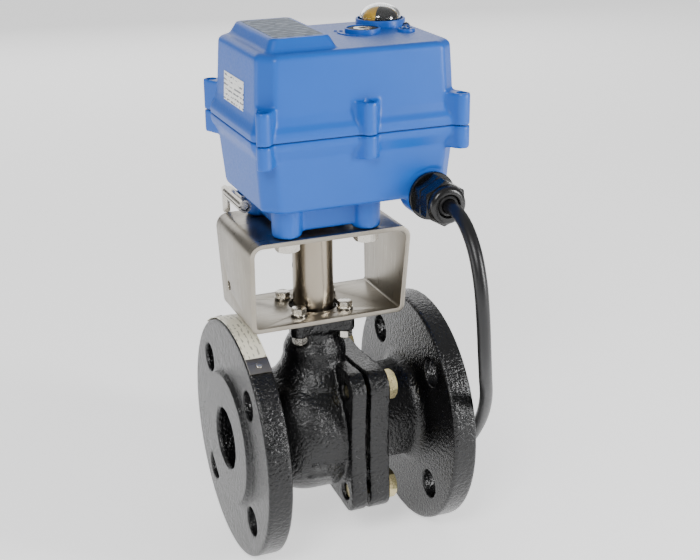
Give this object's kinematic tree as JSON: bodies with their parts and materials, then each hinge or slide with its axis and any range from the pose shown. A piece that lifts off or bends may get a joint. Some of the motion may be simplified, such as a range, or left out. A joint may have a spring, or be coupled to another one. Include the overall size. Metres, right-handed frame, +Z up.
{
  "type": "motorized valve actuator",
  "caption": "Flanged quarter-turn ball valve with a bracket-mounted electric actuator, position dome, hand override and cable gland.",
  "frame": {"origin": "centre of the inlet flange's sealing face, on the pipe axis", "axes": "+X along the pipe from inlet to outlet, +Z up the valve stem to the actuator, +Y to the side away from the cable gland"},
  "size_m": [0.1567, 0.3076, 0.3334],
  "materials": {
    "black_cast_iron": "gloss black coat over rough casting",
    "stainless": "mill-finish stainless steel, warm grey",
    "zinc_yellow": "yellow passivated zinc plate",
    "blue_paint": "satin blue powder coat on die-cast aluminium",
    "black_nylon": "smooth black nylon",
    "ptfe": "white PTFE",
    "cream_enamel": "cream enamel on thin steel, grey clip at one end",
    "clear_plastic": "clear polycarbonate",
    "indicator_yellow": "yellow plastic with black quarters",
    "gear_steel": "machined steel, lightly oiled",
    "bronze": "sintered bronze",
    "board_green": "green solder mask with black relays",
    "rubber_black": "matt black rubber",
    "switch_plastic": "black moulded plastic"
  },
  "bodies": {
    "valve": {"actuator_base": "blue_paint", "actuator_bolt_1": "stainless", "actuator_bolt_2": "stainless", "actuator_bolt_3": "stainless", "actuator_bolt_4": "stainless", "actuator_cover": "blue_paint", "body_bolt_1": "zinc_yellow", "body_bolt_2": "zinc_yellow", "body_bolt_3": "zinc_yellow", "body_bolt_4": "zinc_yellow", "body_seal_ring": "ptfe", "bracket_nut_1": "stainless", "bracket_nut_2": "stainless", "bracket_nut_3": "stainless", "bracket_nut_4": "stainless", "bracket_screw_1": "stainless", "bracket_screw_2": "stainless", "bracket_screw_3": "stainless", "bracket_screw_4": "stainless", "cable_coil": "rubber_black", "cable_gland_body": "black_nylon", "cable_gland_nut": "black_nylon", "circuit_board": "board_green", "cover_gasket": "rubber_black", "cover_screw_1": "stainless", "cover_screw_2": "stainless", "cover_screw_3": "stainless", "cover_screw_4": "stainless", "cover_screw_5": "stainless", "cover_screw_6": "stainless", "end_connector": "black_cast_iron", "gear_motor": "gear_steel", "gear_plate": "gear_steel", "gland_nut": "stainless", "gland_seal": "rubber_black", "indicator_dome": "clear_plastic", "inlet_seat": "ptfe", "key_clip": "stainless", "limit_switch_block": "switch_plastic", "mounting_bracket": "stainless", "outlet_seat": "ptfe", "output_bush": "bronze", "override_seal": "rubber_black", "power_cable": "rubber_black", "rating_tag": "cream_enamel", "status_lamp": "clear_plastic", "stem_packing": "ptfe", "valve_body": "black_cast_iron"},
    "drive": {"ball": "stainless", "valve_stem": "stainless", "coupling_sleeve": "stainless", "output_shaft": "gear_steel", "output_gear": "gear_steel", "limit_cams": "switch_plastic"},
    "indicator": {"position_indicator": "indicator_yellow", "indicator_gear": "gear_steel"},
    "override": {"override_shaft": "stainless", "override_gear": "gear_steel"},
    "motor_rotor": {"motor_pinion": "gear_steel"},
    "key": {"hex_key": "stainless"}
  },
  "joints": [
    {"name": "valve_turn", "type": "hinge", "parent": "valve", "child": "drive", "pos_m": [0.06, 0, 0], "axis": [0, 0, 1], "range_deg": [-90, 0]},
    {"name": "indicator_turn", "type": "hinge", "parent": "valve", "child": "indicator", "pos_m": [0.11508, 0.02313, 0.245], "axis": [0, 0, 1], "range_deg": [-90, 0]},
    {"name": "override_turn", "type": "hinge", "parent": "valve", "child": "override", "pos_m": [0.09596, 0.00493, 0.245], "axis": [0, 0, 1], "range_deg": [0, 108]},
    {"name": "motor_turn", "type": "hinge", "parent": "valve", "child": "motor_rotor", "pos_m": [0.10744, -0.01146, 0.175], "axis": [0, 0, 1], "range_deg": [-432, 0]},
    {"name": "key_slide", "type": "slide", "parent": "valve", "child": "key", "axis": [0, 1, 0], "range_m": [0, 0.05]}
  ],
  "couplings": [
    {"joint": "indicator_turn", "follows": "valve_turn", "ratio": 1},
    {"joint": "override_turn", "follows": "valve_turn", "ratio": -1.2},
    {"joint": "motor_turn", "follows": "valve_turn", "ratio": 4.8}
  ]
}
